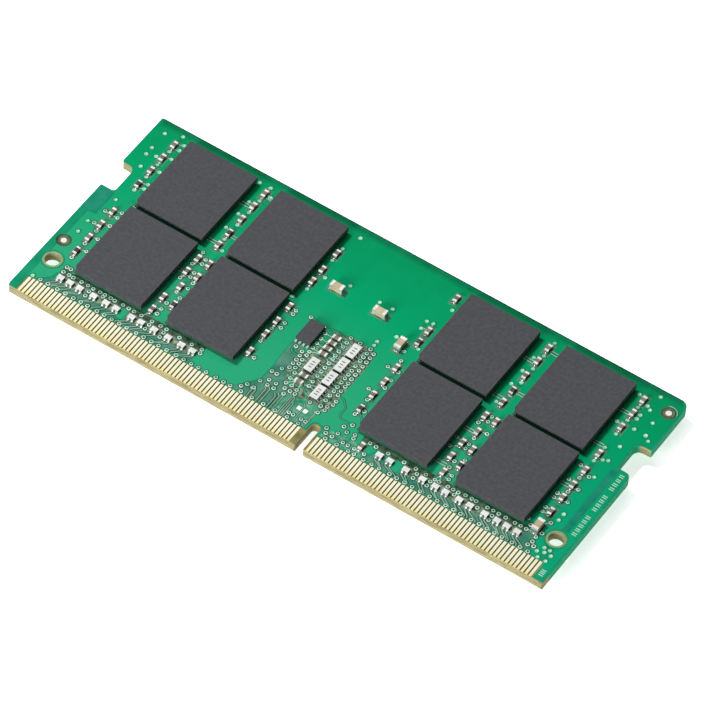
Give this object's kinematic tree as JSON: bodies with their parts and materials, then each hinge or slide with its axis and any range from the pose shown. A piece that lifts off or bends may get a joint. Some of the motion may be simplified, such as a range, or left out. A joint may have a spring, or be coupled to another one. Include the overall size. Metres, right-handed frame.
{
  "type": "ram module",
  "caption": "Small-outline memory module: green keyed card with gilded edge contacts, black memory packages on both faces, latch notches and two mounting holes.",
  "frame": {"origin": "middle of the card seen from above, at the level of the back packages' faces that it rests on", "axes": "+X along the card, +Y from the contact edge to the opposite edge, +Z out of the front face"},
  "size_m": [0.0696, 0.03, 0.0034],
  "materials": {
    "laminate": "woven glass and epoxy, satin",
    "copper": "bare foil, satin",
    "gold": "gold plated, polished",
    "tinned_copper": "bright dipped",
    "bare_copper": "oxidised, satin",
    "solder_mask": "green lacquer, semi-gloss",
    "solder": "bright solder",
    "mould_compound": "fine matte moulding",
    "tin_plating": "matte tin",
    "silicon": "ground silicon",
    "substrate_resin": "dark green resin",
    "capacitor_ceramic": "fired ceramic, satin",
    "white_ceramic": "white glaze",
    "resistor_glaze": "black glaze"
  },
  "bodies": {
    "root": {"capacitor_bodies_back": "capacitor_ceramic", "capacitor_bodies_front": "capacitor_ceramic", "capacitor_ends_back": "tin_plating", "capacitor_ends_front": "tin_plating", "circuit_board": "laminate", "contacts_back_left": "gold", "contacts_back_right": "gold", "contacts_front_left": "gold", "contacts_front_right": "gold", "fiducials": "tinned_copper", "ground_plane": "copper", "hole_rings": "bare_copper", "large_capacitor_bodies_back": "capacitor_ceramic", "large_capacitor_bodies_front": "capacitor_ceramic", "large_capacitor_ends_back": "tin_plating", "large_capacitor_ends_front": "tin_plating", "memory_package_back_1": "mould_compound", "memory_package_back_2": "mould_compound", "memory_package_back_3": "mould_compound", "memory_package_back_4": "mould_compound", "memory_package_back_5": "mould_compound", "memory_package_back_6": "mould_compound", "memory_package_back_7": "mould_compound", "memory_package_back_8": "mould_compound", "memory_package_front_1": "mould_compound", "memory_package_front_2": "mould_compound", "memory_package_front_3": "mould_compound", "memory_package_front_4": "mould_compound", "memory_package_front_5": "mould_compound", "memory_package_front_6": "mould_compound", "memory_package_front_7": "mould_compound", "memory_package_front_8": "mould_compound", "package_substrates_back": "substrate_resin", "package_substrates_front": "substrate_resin", "power_plane": "copper", "resistor_bodies_back": "resistor_glaze", "resistor_bodies_front": "resistor_glaze", "resistor_ends_back": "tin_plating", "resistor_ends_front": "tin_plating", "resistor_network_bodies_back": "white_ceramic", "resistor_network_bodies_front": "white_ceramic", "resistor_network_ends_back": "tin_plating", "resistor_network_ends_front": "tin_plating", "resistor_pair_bodies_back": "white_ceramic", "resistor_pair_bodies_front": "white_ceramic", "resistor_pair_ends_back": "tin_plating", "resistor_pair_ends_front": "tin_plating", "silicon_dies_back": "silicon", "silicon_dies_front": "silicon", "solder_balls_back": "solder", "solder_balls_front": "solder", "solder_joints_back": "solder", "solder_joints_front": "solder", "solder_mask_back": "solder_mask", "solder_mask_front": "solder_mask", "spd_memory_body": "mould_compound", "spd_memory_leads": "tin_plating"}
  },
  "joints": []
}
